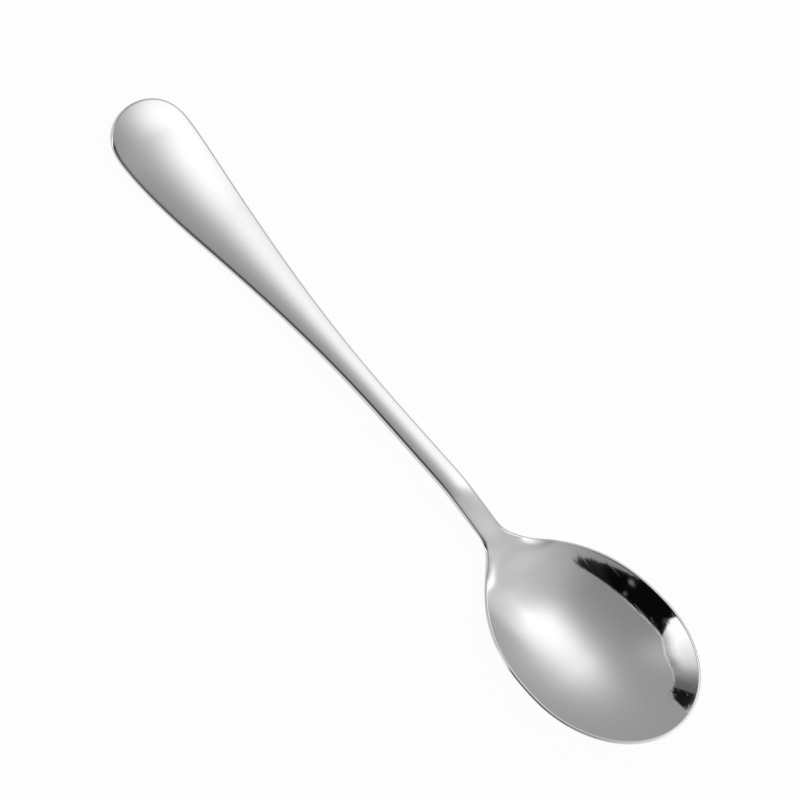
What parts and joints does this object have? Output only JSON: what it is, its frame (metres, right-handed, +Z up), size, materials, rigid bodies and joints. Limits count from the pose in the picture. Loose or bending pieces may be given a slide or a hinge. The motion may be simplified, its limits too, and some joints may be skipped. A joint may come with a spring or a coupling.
{
  "type": "soup spoon",
  "caption": "Soup spoon with a broad rounded handle end, a slim stem, smooth concave shoulders and a broad oval bowl, pressed from one piece of polished stainless steel.",
  "frame": {"origin": "middle of the spoon's length and width, at the height of the surface it lies on", "axes": "+X from the handle's end to the tip of the bowl, +Y across the spoon, +Z up out of the open bowl"},
  "size_m": [0.205, 0.0414, 0.0138],
  "materials": {
    "stainless": "polished"
  },
  "bodies": {
    "root": {"spoon": "stainless"}
  },
  "joints": []
}
